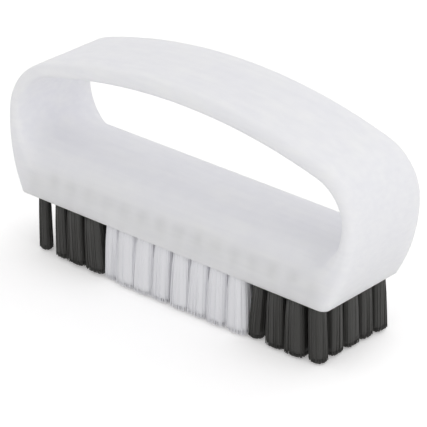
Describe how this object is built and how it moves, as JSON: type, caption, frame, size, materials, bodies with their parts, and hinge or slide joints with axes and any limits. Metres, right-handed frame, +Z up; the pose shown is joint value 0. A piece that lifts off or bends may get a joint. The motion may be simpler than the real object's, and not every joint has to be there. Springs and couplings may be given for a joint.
{
  "type": "nail brush",
  "caption": "Nail brush with a wide arched hand loop moulded in one with its base, black bristle tufts at both ends and white tufts between.",
  "frame": {"origin": "middle of the plane that the trimmed bristle tips stand on", "axes": "+X along the brush, +Y across it, +Z up through the hand loop"},
  "size_m": [0.1004, 0.0286, 0.0543],
  "materials": {
    "moulded_plastic": "frosted, slightly translucent moulded plastic",
    "black_bristle": "satin drawn filament",
    "white_bristle": "satin drawn filament",
    "anchor_wire": "bare flat wire"
  },
  "bodies": {
    "root": {"handle_body": "moulded_plastic", "black_tufts_left_1": "black_bristle", "black_tufts_left_2": "black_bristle", "black_tufts_left_3": "black_bristle", "black_tufts_left_4": "black_bristle", "black_tufts_right_1": "black_bristle", "black_tufts_right_2": "black_bristle", "black_tufts_right_3": "black_bristle", "black_tufts_right_4": "black_bristle", "white_tufts_1": "white_bristle", "white_tufts_2": "white_bristle", "white_tufts_3": "white_bristle", "white_tufts_4": "white_bristle", "white_tufts_5": "white_bristle", "white_tufts_6": "white_bristle", "white_tufts_7": "white_bristle", "white_tufts_8": "white_bristle", "anchors_01": "anchor_wire", "anchors_02": "anchor_wire", "anchors_03": "anchor_wire", "anchors_04": "anchor_wire", "anchors_05": "anchor_wire", "anchors_06": "anchor_wire", "anchors_07": "anchor_wire", "anchors_08": "anchor_wire", "anchors_09": "anchor_wire", "anchors_10": "anchor_wire", "anchors_11": "anchor_wire", "anchors_12": "anchor_wire", "anchors_13": "anchor_wire", "anchors_14": "anchor_wire", "anchors_15": "anchor_wire", "anchors_16": "anchor_wire"}
  },
  "joints": []
}
